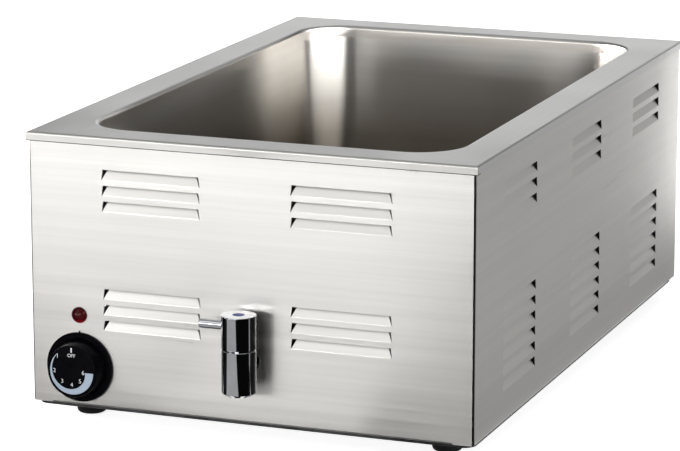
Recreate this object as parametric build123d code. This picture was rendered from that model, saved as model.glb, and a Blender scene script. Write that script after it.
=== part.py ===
from build123d import *
import os
from math import atan2, cos, sin, tan

# Countertop wet bain marie. Millimetres, X to the right seen from the front, Y to the back, Z up.
# The origin is on the table, under the middle of the deck.

# Well and deck
well_width = 302.0
well_length = 506.0
well_corner = 39.0
well_depth = 150.0
floor_radius = 12.0
lip_radius = 3.0
lip_collar = 10.0
deck_margin = 30.0
deck_skirt = 7.0
deck_bend = 1.8
corner_slit = 0.4

# Sheet and casing
casing_sheet = 1.0
tank_sheet = 1.0
base_sheet = 1.2
skirt_clearance = 0.5
panel_bend = 1.5
panel_flange = 15.0
panel_seam = 0.3
flange_gap = 2.0
corner_relief = 4.0
under_tank_space = 64.3
base_inset = 2.0
base_corner = 10.0
base_lip = 1.3

# Louvres, lanced inwards and joined along their lower edge
louvre_length = 81.9
louvre_top_length = 79.8
louvre_blade_top = 73.2
louvre_tear = 0.2
louvre_fold = 8.0
louvre_depth = 3.6
louvre_bend = 1.6
louvre_root = 1.0
louvre_pitch = 12.5
upper_louvre_drop = 25.7
lower_louvre_rise = 96.3
end_louvre_inset = 104.5
front_louvre_shift = 2.0
side_louvre_spacing = 175.5
short_rows = 3
long_rows = 6

# Rubber feet
foot_height = 14.4
foot_radius = 11.8
foot_top_radius = 11.3
foot_edge = 3.0
foot_inset_x = 35.0
foot_inset_y = 38.0
foot_counterbore = 5.5
foot_counterbore_depth = 6.5

# Screws, studs and nuts
screw_clearance = 0.15
bolt_radius = 2.5
bolt_head_radius = 4.5
bolt_head_height = 3.0
nut_across = 8.0
nut_height = 4.0
bolt_tip = 1.5
tapping_radius = 1.75
tapping_head_radius = 3.4
tapping_head_height = 2.0
tapping_length = 7.0
recess_length = 3.6
recess_width = 0.9
recess_depth = 1.2
base_screw_count = 4
base_screw_spacing = 150.0
rear_screw_count = 3
rear_screw_spacing = 85.0

# Heating under the tank floor
spreader_thickness = 1.5
spreader_width = 240.0
spreader_front = 93.0
spreader_back = 53.0
element_width = 8.5
element_height = 6.5
element_pitch = 70.0
element_edge = 12.0
element_tail = 22.0
terminal_pin_radius = 1.75
terminal_pin_length = 14.0
clamp_bar_width = 20.0
clamp_bar_thickness = 3.0
clamp_bar_pitch = 120.0
shield_sheet = 0.8
shield_gap = 6.0
shield_hole_clearance = 1.0
blanket_thickness = 9.5
blanket_gap = 0.5

# High limit switch, flanged to the tank floor
limit_x = 80.0
limit_radius = 9.0
limit_height = 12.0
limit_flange_length = 42.0
limit_flange_width = 12.0
limit_flange_thickness = 1.0
limit_stud_offset = 15.0
tab_width = 6.3
tab_thickness = 0.8
tab_length = 8.0
tab_spacing = 12.0

# Thermostat and knob
knob_inset = 41.0
knob_rise = 32.0
thermostat_width = 34.0
thermostat_height = 34.0
thermostat_depth = 26.0
thermostat_corner = 1.0
thermostat_plate_sheet = 1.5
thermostat_plate_width = 40.0
thermostat_plate_height = 20.0
thermostat_screw_offset = 14.0
thermostat_screw_head = 2.5
shaft_radius = 3.0
shaft_fit = 0.05
shaft_flat = 2.2
shaft_seat = 12.0
boss_radius = 5.0
boss_clearance = 0.4
bezel_radius = 27.8
bezel_rim = 3.0
bezel_floor = 1.5
bezel_chamfer = 1.2
bezel_pointer = 1.2
knob_base_radius = 23.0
knob_face_radius = 20.6
knob_height = 16.2
knob_edge = 1.0
knob_lift = 0.8
knob_wall = 2.6
knob_roof = 3.5
knob_hub_radius = 6.0
knob_hub_lift = 5.0
knob_ring_clearance = 1.3
bulb_radius = 3.15
bulb_length = 140.0
capillary_radius = 1.0
capillary_bend = 12.0
capillary_run = 36.0
capillary_dip = 10.0
capillary_offset = 12.0

# Pilot lamp
lamp_rise = 41.7
lamp_radius = 6.4
lamp_ring = 0.8
lamp_dome = 4.2
lamp_stem_radius = 4.0
lamp_stem_length = 18.0
lamp_nut_across = 13.0
lamp_nut_height = 3.0
lamp_clearance = 0.1

# Drain under the front of the tank
drain_setback = 48.0
drain_drop = 14.3
drain_flange_radius = 18.0
drain_flange_height = 2.5
drain_tail_radius = 10.0
drain_tail_length = 9.0
drain_bore = 7.5
drain_clearance = 0.2
gasket_thickness = 2.0
strainer_radius = 15.0
strainer_thickness = 1.0
strainer_hole = 1.1
strainer_ring = 4.6
strainer_ring_holes = 6
elbow_boss_radius = 14.0
elbow_barrel_radius = 11.0
elbow_reach = 50.0
elbow_socket = 14.0
elbow_floor = 2.5

# Tap
tap_standoff = 18.5
tap_radius = 13.5
tap_below_axis = 22.8
tap_above_axis = 13.2
tap_groove = 0.5
tap_handle_height = 26.4
tap_chamfer_height = 2.3
tap_chamfer_depth = 3.5
tap_edge = 0.5
tap_shank_radius = 8.3
tap_bore = 4.5
tap_outlet = 7.0
tap_flange_radius = 10.0
tap_flange_thickness = 2.0
tap_flange_chamfer = 0.8
tap_washer_thickness = 1.5
tap_washer_radius = 12.0
tap_nut_across = 24.0
tap_nut_height = 6.0
thread_clearance = 0.1
plug_radius = 9.0
plug_fit = 0.05
plug_end_gap = 0.4
plug_lower = 12.5
plug_upper = 4.7
spindle_radius = 5.0
spindle_height = 13.5
gland_nut_radius = 11.0
lever_radius = 3.8
lever_drop = 9.1
lever_reach = 18.4
lever_seat = 7.0
lever_edge = 0.8
index_radius = 4.75
index_depth = 0.8

# Terminal block on the base plate
block_width = 68.0
block_depth = 24.0
block_height = 20.0
block_corner = 1.0
block_setback = 50.0
block_poles = 5
block_pole_pitch = 12.0
insert_radius = 2.8
insert_length = 20.0
block_screw_offset = 30.0

# Cable gland and bonding stud on the rear panel
gland_inset = 82.5
gland_rise = 33.0
gland_thread_radius = 10.0
gland_bore = 6.6
gland_hex = 25.0
gland_flange = 5.0
gland_inside = 10.0
gland_outside = 11.0
gland_nut_across = 26.0
gland_nut_height = 5.0
dome_radius = 12.4
dome_length = 22.5
dome_wall = 2.2
dome_mouth = 5.2
dome_round = 4.0
dome_grip = 0.5
seal_bore = 4.6
seal_length = 9.0
seal_clearance = 0.2
bond_inset = 82.5
bond_outside = 18.0
bond_inside = 9.0

# Wiring
wire_radius = 1.2
wire_bend = 6.0
wire_gap = 0.3
wire_lead = 8.0
wire_run = 40.0
wire_step = 20.0

# Allowance that carries a cut clean through a face
cut_over = 1.0

# Levels and planes that follow from the sizes above
body_bottom = foot_height
base_top = body_bottom + base_sheet
tank_underside = base_top + under_tank_space
floor_top = tank_underside + tank_sheet
deck_top = floor_top + well_depth
deck_underside = deck_top - casing_sheet
deck_overhang = casing_sheet + skirt_clearance
deck_half_x = well_width / 2 + lip_radius + deck_margin
deck_half_y = well_length / 2 + lip_radius + deck_margin
casing_half_x = deck_half_x - deck_overhang
casing_half_y = deck_half_y - deck_overhang
front_face = -casing_half_y
front_back = front_face + casing_sheet
rear_face = casing_half_y
rear_back = rear_face - casing_sheet
side_half_y = casing_half_y - casing_sheet
end_half_x = casing_half_x - panel_bend - panel_seam
end_flange_half = casing_half_x - panel_flange - flange_gap
louvre_angle = atan2(louvre_depth, louvre_fold)
louvre_height = louvre_fold + louvre_bend * tan(louvre_angle / 2)
end_louvre_x = casing_half_x - end_louvre_inset
upper_louvre_z = deck_top - upper_louvre_drop
lower_louvre_z = body_bottom + lower_louvre_rise
foot_x = deck_half_x - foot_inset_x
foot_y = deck_half_y - foot_inset_y
bolt_hole = bolt_radius + screw_clearance
tapping_hole = tapping_radius + screw_clearance
base_screw_x = casing_half_x - panel_flange / 2
rear_screw_x = (end_half_x + casing_half_x - panel_flange) / 2
rear_screw_z = (base_top + deck_underside) / 2
spreader_y0 = -well_length / 2 + spreader_front
spreader_y1 = well_length / 2 - spreader_back
spreader_mid = (spreader_y0 + spreader_y1) / 2
spreader_low = tank_underside - spreader_thickness
element_low = spreader_low - element_height
element_z = (spreader_low + element_low) / 2
clamp_low = element_low - clamp_bar_thickness
clamp_stud_low = clamp_low - nut_height - bolt_tip
blanket_top = clamp_stud_low - blanket_gap
shield_top = blanket_top - blanket_thickness
shield_low = shield_top - shield_sheet
shield_half_x = spreader_width / 2 + shield_gap
shield_y0 = spreader_y0 - shield_gap
shield_y1 = spreader_y1 + shield_gap
element_x = [element_pitch * (i - 1.5) for i in range(4)]
clamp_bar_y = [spreader_mid + clamp_bar_pitch * i for i in (-1, 0, 1)]
clamp_stud_xy = [(s * element_pitch, y) for s in (-1, 1) for y in clamp_bar_y]
shield_stud_xy = [
    (s * element_pitch, spreader_mid + t * clamp_bar_pitch / 2) for s in (-1, 1) for t in (-1, 1)
]
knob_x = knob_inset - casing_half_x
knob_z = body_bottom + knob_rise
lamp_z = knob_z + lamp_rise
drain_y = -well_length / 2 + drain_setback
tap_axis_z = tank_underside - drain_drop
tap_y = front_face - tap_standoff
tap_low = tap_axis_z - tap_below_axis
tap_split = tap_axis_z + tap_above_axis
handle_low = tap_split + tap_groove
handle_top = handle_low + tap_handle_height
lever_z = handle_top - lever_drop
plug_low = tap_axis_z - plug_lower
plug_high = tap_axis_z + plug_upper
spindle_top = handle_low + spindle_height
elbow_top = tank_underside - gasket_thickness
elbow_front = drain_y - elbow_reach
gland_x = casing_half_x - gland_inset
gland_z = body_bottom + gland_rise
bond_x = bond_inset - casing_half_x
block_y = rear_back - block_setback
pole_z = base_top + block_height / 2
pole_x = [gland_x + block_pole_pitch * (i - (block_poles - 1) / 2) for i in range(block_poles)]


def block(x0, x1, y0, y1, z0, z1):
    """A box between two corners."""
    return Pos((x0 + x1) / 2, (y0 + y1) / 2, (z0 + z1) / 2) * Box(x1 - x0, y1 - y0, z1 - z0)


def upright(radius, z0, z1, x=0.0, y=0.0):
    """A round bar standing on end."""
    return Pos(x, y, (z0 + z1) / 2) * Cylinder(radius, z1 - z0)


def lengthwise(radius, y0, y1, x, z):
    """A round bar lying from front to back."""
    return Pos(x, (y0 + y1) / 2, z) * Rot(90, 0, 0) * Cylinder(radius, y1 - y0)


def crosswise(radius, x0, x1, y, z):
    """A round bar lying from left to right."""
    return Pos((x0 + x1) / 2, y, z) * Rot(0, 90, 0) * Cylinder(radius, x1 - x0)


def hexagon(across, height):
    """A hexagonal prism on the ground plane."""
    return extrude(RegularPolygon(across / 2, 6, major_radius=False), height)


def turned(points):
    """A solid turned about Z from points given as radius and height."""
    return revolve(make_face(Plane.XZ * Polyline(*points, close=True)), Axis.Z)


def from_front(x, z, lift=0.0):
    """A place on the front panel whose Z axis points out of the panel."""
    return Pos(x, front_face - lift, z) * Rot(90, 0, 0)


def from_rear(x, z, lift=0.0):
    """A place on the rear panel whose Z axis points out of the panel."""
    return Pos(x, rear_face + lift, z) * Rot(-90, 0, 0)


def nut(across, height, bore):
    """A hexagonal nut with a plain bore."""
    return hexagon(across, height) - upright(bore, -cut_over, height + cut_over)


def rounded_prism(width, length, corner, z0, z1):
    """A rounded rectangle standing between two levels."""
    return Pos(0, 0, z0) * extrude(RectangleRounded(width, length, corner), z1 - z0)


def bent_tube(points, radius, bend):
    """A round tube or wire along straight runs with rounded turns."""
    path = FilletPolyline(*points, radius=bend)
    return sweep(Plane(path @ 0, z_dir=path % 0) * Circle(radius), path)


# Casing

def top_deck():
    outer = block(-deck_half_x, deck_half_x, -deck_half_y, deck_half_y, deck_top - deck_skirt, deck_top)
    outer = fillet(outer.faces().sort_by(Axis.Z)[-1].edges(), deck_bend)
    inside_x = deck_half_x - casing_sheet
    inside_y = deck_half_y - casing_sheet
    hollow = block(
        -inside_x, inside_x, -inside_y, inside_y, deck_top - deck_skirt - cut_over, deck_underside
    )
    hollow = fillet(hollow.faces().sort_by(Axis.Z)[-1].edges(), deck_bend - casing_sheet)
    folded = outer - hollow
    collar_width = well_width + 2 * casing_sheet
    collar_length = well_length + 2 * casing_sheet
    collar_corner = well_corner + casing_sheet
    folded += rounded_prism(
        collar_width, collar_length, collar_corner, deck_top - lip_collar, deck_top - casing_sheet / 2
    )
    under_lip = folded.edges().filter_by_position(Axis.Z, deck_underside, deck_underside)
    under_lip = under_lip.filter_by(lambda e: abs(e.center().Y) < collar_length / 2 + lip_radius)
    under_lip = under_lip.filter_by(lambda e: abs(e.center().X) < collar_width / 2 + lip_radius)
    folded = fillet(under_lip, lip_radius - casing_sheet)
    folded -= rounded_prism(
        well_width, well_length, well_corner, deck_top - lip_collar - cut_over, deck_top + cut_over
    )
    lip = folded.edges().filter_by_position(Axis.Z, deck_top, deck_top)
    lip = lip.filter_by(lambda e: abs(e.center().Y) <= well_length / 2 + cut_over)
    lip = lip.filter_by(lambda e: abs(e.center().X) <= well_width / 2 + cut_over)
    folded = fillet(lip, lip_radius)
    slit_y = deck_half_y - casing_sheet
    slits = [
        block(
            *sorted((sx * (deck_half_x - casing_sheet), sx * (deck_half_x + cut_over))),
            *sorted((sy * slit_y, sy * (slit_y - corner_slit))),
            deck_top - deck_skirt - cut_over,
            deck_top - deck_bend,
        )
        for sx in (-1, 1)
        for sy in (-1, 1)
    ]
    return folded - slits


def water_tank():
    rim = deck_top - lip_collar
    shell = rounded_prism(
        well_width + 2 * tank_sheet,
        well_length + 2 * tank_sheet,
        well_corner + tank_sheet,
        tank_underside,
        rim,
    )
    shell = fillet(shell.faces().sort_by(Axis.Z)[0].edges(), floor_radius + tank_sheet)
    water = rounded_prism(well_width, well_length, well_corner, floor_top, rim + cut_over)
    water = fillet(water.faces().sort_by(Axis.Z)[0].edges(), floor_radius)
    hole = upright(
        drain_tail_radius + drain_clearance, tank_underside - cut_over, floor_top + cut_over, 0, drain_y
    )
    return shell - water - hole


def louvre_slot():
    """The opening of one louvre in the front panel, its upper edge at the origin."""
    outline = Polyline(
        (-louvre_top_length / 2, 0),
        (louvre_top_length / 2, 0),
        (louvre_length / 2, -louvre_height),
        (-louvre_length / 2, -louvre_height),
        close=True,
    )
    return Pos(0, casing_sheet / 2, 0) * extrude(make_face(Plane.XZ * outline), casing_sheet, both=True)


def louvre_blade():
    """The tongue of one louvre, leaning into the casing from its lower edge."""
    low = -louvre_height - louvre_root
    inner_fold = -louvre_fold - casing_sheet * tan(louvre_angle / 2)
    tip_back = (louvre_depth + casing_sheet * cos(louvre_angle), -casing_sheet * sin(louvre_angle))
    strip = make_face(
        Polyline(
            (0, low),
            (0, -louvre_fold),
            (louvre_depth, 0),
            tip_back,
            (casing_sheet, inner_fold),
            (casing_sheet, low),
            close=True,
        )
    )
    corners = strip.vertices()
    strip = fillet(corners.sort_by_distance((0, -louvre_fold))[0], louvre_bend)
    corners = strip.vertices()
    strip = fillet(corners.sort_by_distance((casing_sheet, inner_fold))[0], louvre_bend - casing_sheet)
    blade = extrude(Plane.YZ * strip, louvre_length, both=True)
    half_top = louvre_blade_top / 2
    half_low = louvre_length / 2 - louvre_tear
    widening = (half_low - half_top) / louvre_height
    plan = Polyline(
        (-half_top + widening * cut_over, cut_over),
        (half_top - widening * cut_over, cut_over),
        (half_low, -louvre_height),
        (half_low, low - cut_over),
        (-half_low, low - cut_over),
        (-half_low, -louvre_height),
        close=True,
    )
    return blade & extrude(make_face(Plane.XZ * plan), louvre_length, both=True)


def with_louvres(panel, face, turn, columns, groups):
    """A panel with columns of louvres; turn brings the front panel's outward side to this panel's."""
    places = [
        Rot(0, 0, turn) * Pos(column, -face, top - louvre_pitch * row)
        for column in columns
        for top, rows in groups
        for row in range(rows)
    ]
    slot = louvre_slot()
    blade = louvre_blade()
    return panel - [place * slot for place in places] + [place * blade for place in places]


def end_panel():
    """The blank of the front or rear panel, drawn at the front: a web with a flange above and below."""
    bent = block(
        -end_flange_half, end_flange_half, front_face, front_face + panel_flange, base_top, deck_underside
    )
    web_edges = bent.faces().sort_by(Axis.Y)[0].edges().filter_by(Axis.X)
    bent = fillet(web_edges, panel_bend)
    hollow = block(
        -end_half_x,
        end_half_x,
        front_back,
        front_face + panel_flange + cut_over,
        base_top + casing_sheet,
        deck_underside - casing_sheet,
    )
    hollow = fillet(
        hollow.faces().sort_by(Axis.Y)[0].edges().filter_by(Axis.X), panel_bend - casing_sheet
    )
    bent -= hollow
    ear_top = deck_underside - panel_bend
    ears = [
        block(*sorted((s * end_flange_half, s * end_half_x)), front_face, front_back, base_top, ear_top)
        for s in (-1, 1)
    ]
    return bent + ears


def front_panel():
    panel = with_louvres(
        end_panel(),
        casing_half_y,
        0,
        (-end_louvre_x - front_louvre_shift, end_louvre_x - front_louvre_shift),
        ((upper_louvre_z, short_rows), (lower_louvre_z, short_rows)),
    )
    low = front_face - cut_over
    high = front_back + cut_over
    holes = [lengthwise(boss_radius + boss_clearance, low, high, knob_x, knob_z)]
    holes += [
        lengthwise(tapping_hole, low, high, knob_x + s * thermostat_screw_offset, knob_z) for s in (-1, 1)
    ]
    holes.append(lengthwise(lamp_stem_radius + lamp_clearance, low, high, knob_x, lamp_z))
    holes.append(lengthwise(tap_shank_radius + thread_clearance, low, high, 0, tap_axis_z))
    return panel - holes


def rear_screw_places():
    return [
        (s * rear_screw_x, rear_screw_z + rear_screw_spacing * (i - (rear_screw_count - 1) / 2))
        for s in (-1, 1)
        for i in range(rear_screw_count)
    ]


def rear_panel():
    panel = Rot(0, 0, 180) * end_panel()
    panel = with_louvres(
        panel,
        casing_half_y,
        180,
        (-end_louvre_x, end_louvre_x),
        ((upper_louvre_z, short_rows), (lower_louvre_z, short_rows)),
    )
    low = rear_back - cut_over
    high = rear_face + cut_over
    holes = [lengthwise(tapping_hole, low, high, x, z) for x, z in rear_screw_places()]
    holes.append(lengthwise(gland_thread_radius + thread_clearance, low, high, gland_x, gland_z))
    holes.append(lengthwise(bolt_hole, low, high, bond_x, gland_z))
    return panel - holes


def right_side_panel():
    inner_edge = casing_half_x - panel_flange
    tray = block(inner_edge, casing_half_x, -side_half_y, side_half_y, base_top, deck_underside)
    tray = fillet(tray.faces().sort_by(Axis.X)[-1].edges(), panel_bend)
    hollow = block(
        inner_edge - cut_over,
        casing_half_x - casing_sheet,
        -side_half_y + casing_sheet,
        side_half_y - casing_sheet,
        base_top + casing_sheet,
        deck_underside - casing_sheet,
    )
    hollow = fillet(hollow.faces().sort_by(Axis.X)[-1].edges(), panel_bend - casing_sheet)
    reliefs = [
        block(
            inner_edge - cut_over,
            casing_half_x - panel_bend,
            *sorted((s * (side_half_y + cut_over), s * (side_half_y - corner_relief))),
            z0,
            z1,
        )
        for s in (-1, 1)
        for z0, z1 in (
            (base_top - cut_over, base_top + corner_relief),
            (deck_underside - corner_relief, deck_underside + cut_over),
        )
    ]
    panel = with_louvres(
        tray - hollow - reliefs,
        casing_half_x,
        90,
        (-side_louvre_spacing, 0, side_louvre_spacing),
        ((upper_louvre_z, short_rows), (lower_louvre_z, long_rows)),
    )
    holes = [
        upright(tapping_hole, base_top - cut_over, base_top + casing_sheet + cut_over, base_screw_x, y)
        for y in base_screw_rows()
    ]
    holes += [
        lengthwise(tapping_hole, rear_back - casing_sheet - cut_over, rear_back + cut_over, x, z)
        for x, z in rear_screw_places()
        if x > 0
    ]
    return panel - holes


def left_side_panel():
    return mirror(right_side_panel(), Plane.YZ)


def base_screw_rows():
    middle = (base_screw_count - 1) / 2
    return [base_screw_spacing * (i - middle) for i in range(base_screw_count)]


def foot_places():
    return [(sx * foot_x, sy * foot_y) for sy in (-1, 1) for sx in (-1, 1)]


def block_screw_places():
    return [(gland_x + s * block_screw_offset, block_y) for s in (-1, 1)]


def base_plate():
    """The base, its edge turned down to a short lip."""
    width = 2 * (casing_half_x - base_inset)
    length = 2 * (casing_half_y - base_inset)
    plate = rounded_prism(width, length, base_corner, body_bottom - base_lip, base_top)
    plate -= rounded_prism(
        width - 2 * base_sheet,
        length - 2 * base_sheet,
        base_corner - base_sheet,
        body_bottom - base_lip - cut_over,
        body_bottom,
    )
    low = body_bottom - cut_over
    high = base_top + cut_over
    holes = [upright(bolt_hole, low, high, x, y) for x, y in foot_places()]
    holes += [
        upright(tapping_hole, low, high, s * base_screw_x, y) for s in (-1, 1) for y in base_screw_rows()
    ]
    holes += [upright(tapping_hole, low, high, x, y) for x, y in block_screw_places()]
    return plate - holes


def foot():
    """One rubber foot on the origin, bored for its screw from below."""
    body = turned([(0, 0), (foot_radius, 0), (foot_top_radius, foot_height), (0, foot_height)])
    body = fillet(body.faces().sort_by(Axis.Z)[0].edges(), foot_edge)
    body -= upright(foot_counterbore, -cut_over, foot_counterbore_depth)
    return body - upright(bolt_hole, 0, foot_height + cut_over)


def foot_screw():
    head_low = foot_counterbore_depth - bolt_head_height
    head = upright(bolt_head_radius, head_low, foot_counterbore_depth)
    shank = upright(bolt_radius, foot_counterbore_depth, base_top + nut_height + bolt_tip)
    return head + shank - Pos(0, 0, head_low) * Rot(180, 0, 0) * cross_recess()


def cross_recess():
    """The driver's cross in a screw head, its mouth on the ground plane."""
    reach = recess_length / 2
    half = recess_width / 2
    across = block(-reach, reach, -half, half, -recess_depth, cut_over)
    return across + block(-half, half, -reach, reach, -recess_depth, cut_over)


def tapping_screw():
    """A pan head tapping screw, its head standing on the ground plane and its point below."""
    head = upright(tapping_head_radius, 0, tapping_head_height)
    head = fillet(head.faces().sort_by(Axis.Z)[-1].edges(), tapping_head_height / 2)
    head -= Pos(0, 0, tapping_head_height) * cross_recess()
    return head + upright(tapping_radius, -tapping_length, 0)


# Heating

def heat_spreader():
    plate = block(
        -spreader_width / 2, spreader_width / 2, spreader_y0, spreader_y1, spreader_low, tank_underside
    )
    return plate - [
        upright(bolt_hole, spreader_low - cut_over, tank_underside + cut_over, x, y)
        for x, y in clamp_stud_xy + shield_stud_xy
    ]


def element_section():
    """A tube pressed flat above and below."""
    return Circle(element_width / 2) & Rectangle(element_width, element_height)


def heating_element():
    tail_end = shield_y0 - element_tail
    turn = element_pitch / 2
    near = spreader_y0 + element_edge + turn
    far = spreader_y1 - element_edge - turn
    x0, x1, x2, x3 = element_x
    path = Line((x0, tail_end), (x0, far))
    path += CenterArc(((x0 + x1) / 2, far), turn, 180, -180)
    path += Line((x1, far), (x1, near))
    path += CenterArc(((x1 + x2) / 2, near), turn, 180, 180)
    path += Line((x2, near), (x2, far))
    path += CenterArc(((x2 + x3) / 2, far), turn, 180, -180)
    path += Line((x3, far), (x3, tail_end))
    path = Pos(0, 0, element_z) * path
    start = Plane((x0, tail_end, element_z), x_dir=(1, 0, 0), z_dir=(0, 1, 0))
    return sweep(start * element_section(), Wire(path.edges()))


def element_terminals():
    tail_end = shield_y0 - element_tail
    return [
        lengthwise(terminal_pin_radius, tail_end - terminal_pin_length, tail_end, x, element_z)
        for x in (element_x[0], element_x[-1])
    ]


def clamp_bars():
    half = spreader_width / 2
    bars = []
    for y in clamp_bar_y:
        bar = block(-half, half, y - clamp_bar_width / 2, y + clamp_bar_width / 2, clamp_low, element_low)
        holes = [
            upright(bolt_hole, clamp_low - cut_over, element_low + cut_over, s * element_pitch, y)
            for s in (-1, 1)
        ]
        bars.append(bar - holes)
    return bars


def limit_stud_xy():
    return [(limit_x + s * limit_stud_offset, drain_y) for s in (-1, 1)]


def tank_studs():
    lengths = [(clamp_stud_low, clamp_stud_xy), (shield_low - nut_height - bolt_tip, shield_stud_xy)]
    lengths.append((tank_underside - limit_flange_thickness - nut_height - bolt_tip, limit_stud_xy()))
    return [upright(bolt_radius, low, tank_underside, x, y) for low, places in lengths for x, y in places]


def stud_nuts():
    seats = [(clamp_low, clamp_stud_xy), (shield_low, shield_stud_xy)]
    seats.append((tank_underside - limit_flange_thickness, limit_stud_xy()))
    one = nut(nut_across, nut_height, bolt_hole)
    return [Pos(x, y, seat - nut_height) * one for seat, places in seats for x, y in places]


def insulation_blanket():
    inside = shield_half_x - shield_sheet - blanket_gap
    pad = block(
        -inside,
        inside,
        shield_y0 + shield_sheet + blanket_gap,
        shield_y1 - shield_sheet - blanket_gap,
        shield_top,
        blanket_top,
    )
    return pad - [
        upright(bolt_hole, shield_top - cut_over, blanket_top + cut_over, x, y) for x, y in shield_stud_xy
    ]


def heat_shield():
    tray = block(-shield_half_x, shield_half_x, shield_y0, shield_y1, shield_low, tank_underside)
    tray -= block(
        -shield_half_x + shield_sheet,
        shield_half_x - shield_sheet,
        shield_y0 + shield_sheet,
        shield_y1 - shield_sheet,
        shield_top,
        tank_underside + cut_over,
    )
    tray -= [
        upright(bolt_hole, shield_low - cut_over, shield_top + cut_over, x, y) for x, y in shield_stud_xy
    ]
    wall_low = shield_y0 - cut_over
    wall_high = shield_y0 + shield_sheet + cut_over
    notch = element_width / 2 + shield_hole_clearance
    notches = [
        block(x - notch, x + notch, wall_low, wall_high, element_low - shield_hole_clearance, tank_underside)
        for x in (element_x[0], element_x[-1])
    ]
    capillary_hole = capillary_radius + shield_hole_clearance
    notches.append(lengthwise(capillary_hole, wall_low, wall_high, 0, element_z - capillary_dip))
    return tray - notches


def high_limit_switch():
    top = tank_underside
    seat = top - limit_flange_thickness
    half_length = limit_flange_length / 2
    half_width = limit_flange_width / 2
    flange = block(
        limit_x - half_length, limit_x + half_length, drain_y - half_width, drain_y + half_width, seat, top
    )
    flange -= [upright(bolt_hole, seat - cut_over, top + cut_over, x, y) for x, y in limit_stud_xy()]
    cup = upright(limit_radius, top - limit_height, top, limit_x, drain_y)
    tabs = [
        block(
            limit_x + s * tab_spacing / 2 - tab_thickness / 2,
            limit_x + s * tab_spacing / 2 + tab_thickness / 2,
            drain_y - tab_width / 2,
            drain_y + tab_width / 2,
            top - limit_height - tab_length,
            top - limit_height,
        )
        for s in (-1, 1)
    ]
    return flange + cup + tabs


# Thermostat, knob and lamp

def thermostat_plate():
    half_width = thermostat_plate_width / 2
    half_height = thermostat_plate_height / 2
    plate = block(
        knob_x - half_width,
        knob_x + half_width,
        front_back,
        front_back + thermostat_plate_sheet,
        knob_z - half_height,
        knob_z + half_height,
    )
    low = front_back - cut_over
    high = front_back + thermostat_plate_sheet + cut_over
    holes = [lengthwise(boss_radius + boss_clearance, low, high, knob_x, knob_z)]
    holes += [
        lengthwise(tapping_hole, low, high, knob_x + s * thermostat_screw_offset, knob_z) for s in (-1, 1)
    ]
    return plate - holes


def thermostat_body():
    front = front_back + thermostat_plate_sheet
    back = front + thermostat_depth
    half_width = thermostat_width / 2
    half_height = thermostat_height / 2
    case = block(
        knob_x - half_width, knob_x + half_width, front, back, knob_z - half_height, knob_z + half_height
    )
    case = fillet(case.edges().filter_by(Axis.Y), thermostat_corner)
    boss = lengthwise(boss_radius, front_face, front, knob_x, knob_z)
    bore = lengthwise(shaft_radius + shaft_fit, front_face - cut_over, front + shaft_seat, knob_x, knob_z)
    pockets = [
        lengthwise(
            tapping_hole + boss_clearance,
            front - cut_over,
            front + tapping_length,
            knob_x + s * thermostat_screw_offset,
            knob_z,
        )
        for s in (-1, 1)
    ]
    tabs = [
        block(
            knob_x + s * tab_spacing / 2 - tab_thickness / 2,
            knob_x + s * tab_spacing / 2 + tab_thickness / 2,
            back,
            back + tab_length,
            knob_z - half_height + tab_width / 2,
            knob_z - half_height + tab_width * 3 / 2,
        )
        for s in (-1, 1)
    ]
    return case + boss + tabs - bore - pockets


def thermostat_screws():
    seat = bezel_floor
    length = bezel_floor + casing_sheet + thermostat_plate_sheet + tapping_length / 2
    head = upright(tapping_head_radius, 0, thermostat_screw_head)
    head -= Pos(0, 0, thermostat_screw_head) * cross_recess()
    screw = head + upright(tapping_radius, -length, 0)
    return [from_front(knob_x + s * thermostat_screw_offset, knob_z, seat) * screw for s in (-1, 1)]


def knob_bezel():
    ring_inside = knob_base_radius + knob_ring_clearance
    hole = boss_radius + boss_clearance
    ring = turned(
        [
            (hole, 0),
            (bezel_radius, 0),
            (bezel_radius, bezel_rim - bezel_chamfer),
            (bezel_radius - bezel_chamfer, bezel_rim),
            (ring_inside, bezel_rim),
            (ring_inside, bezel_floor),
            (hole, bezel_floor),
        ]
    )
    spread = bezel_pointer
    tip = Polyline(
        (-spread, bezel_radius - bezel_chamfer),
        (spread, bezel_radius - bezel_chamfer),
        (0, bezel_radius + bezel_pointer),
        close=True,
    )
    ring += extrude(make_face(tip), bezel_rim - bezel_chamfer)
    ring -= [
        upright(tapping_hole, -cut_over, bezel_floor + cut_over, s * thermostat_screw_offset, 0)
        for s in (-1, 1)
    ]
    return from_front(knob_x, knob_z) * ring


def d_bar(radius, flat, low, high):
    """A round bar with one flat, standing on end."""
    return upright(radius, low, high) - block(-radius, radius, flat, radius + cut_over, low, high)


def shaft_tip():
    return knob_height - knob_roof / 2


def thermostat_shaft():
    inner = -(casing_sheet + thermostat_plate_sheet + shaft_seat) + boss_clearance
    round_part = upright(shaft_radius, inner, knob_hub_lift)
    flat_part = d_bar(shaft_radius, shaft_flat, knob_hub_lift, shaft_tip())
    return from_front(knob_x, knob_z) * (round_part + flat_part)


def control_knob():
    base = bezel_floor + knob_lift
    ceiling = knob_height - knob_roof
    knob = turned(
        [
            (0, knob_hub_lift),
            (knob_hub_radius, knob_hub_lift),
            (knob_hub_radius, ceiling),
            (knob_face_radius - knob_wall, ceiling),
            (knob_base_radius - knob_wall, base),
            (knob_base_radius, base),
            (knob_face_radius, knob_height),
            (0, knob_height),
        ]
    )
    knob = fillet(knob.faces().sort_by(Axis.Z)[-1].edges(), knob_edge)
    bore = d_bar(
        shaft_radius + shaft_fit, shaft_flat + shaft_fit, knob_hub_lift - cut_over, shaft_tip() + shaft_fit
    )
    return from_front(knob_x, knob_z) * (knob - bore)


def bulb_ends():
    middle = (clamp_bar_y[1] + clamp_bar_y[2]) / 2
    return middle - bulb_length / 2, middle + bulb_length / 2


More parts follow.
